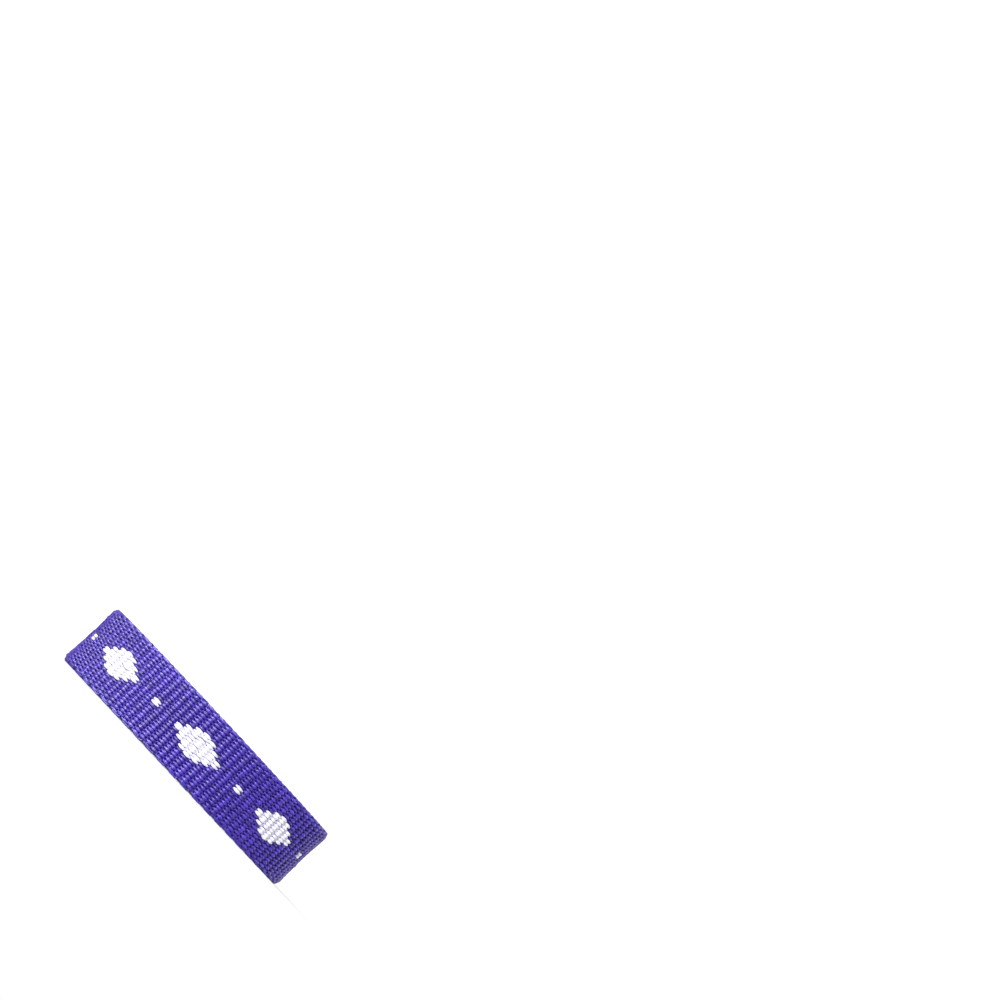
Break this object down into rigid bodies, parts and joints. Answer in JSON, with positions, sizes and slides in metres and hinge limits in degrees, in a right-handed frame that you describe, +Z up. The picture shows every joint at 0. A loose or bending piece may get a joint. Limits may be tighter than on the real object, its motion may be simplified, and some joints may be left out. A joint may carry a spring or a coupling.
{
  "type": "woven fabric wristband",
  "caption": "Ribbed woven strap closed into a wrist loop by a plain curved joiner, lying on its side, with a pale pattern on a purple ground.",
  "frame": {"origin": "bottom centre of the whole part's box, on the surface that the loop lies on", "axes": "+Z up along the axis of the wrist loop, X along the loop's breadth, the patterned front faces -Y and the joiner is at +Y"},
  "size_m": [0.0592, 0.0436, 0.014],
  "materials": {
    "woven_yarn": "warp-faced ribbed weave of purple yarn with a slight sheen; a small pattern in white yarn",
    "clasp_plastic": "dark moulded plastic, fine matt texture"
  },
  "bodies": {
    "root": {"band": "woven_yarn", "clasp": "clasp_plastic"}
  },
  "joints": []
}
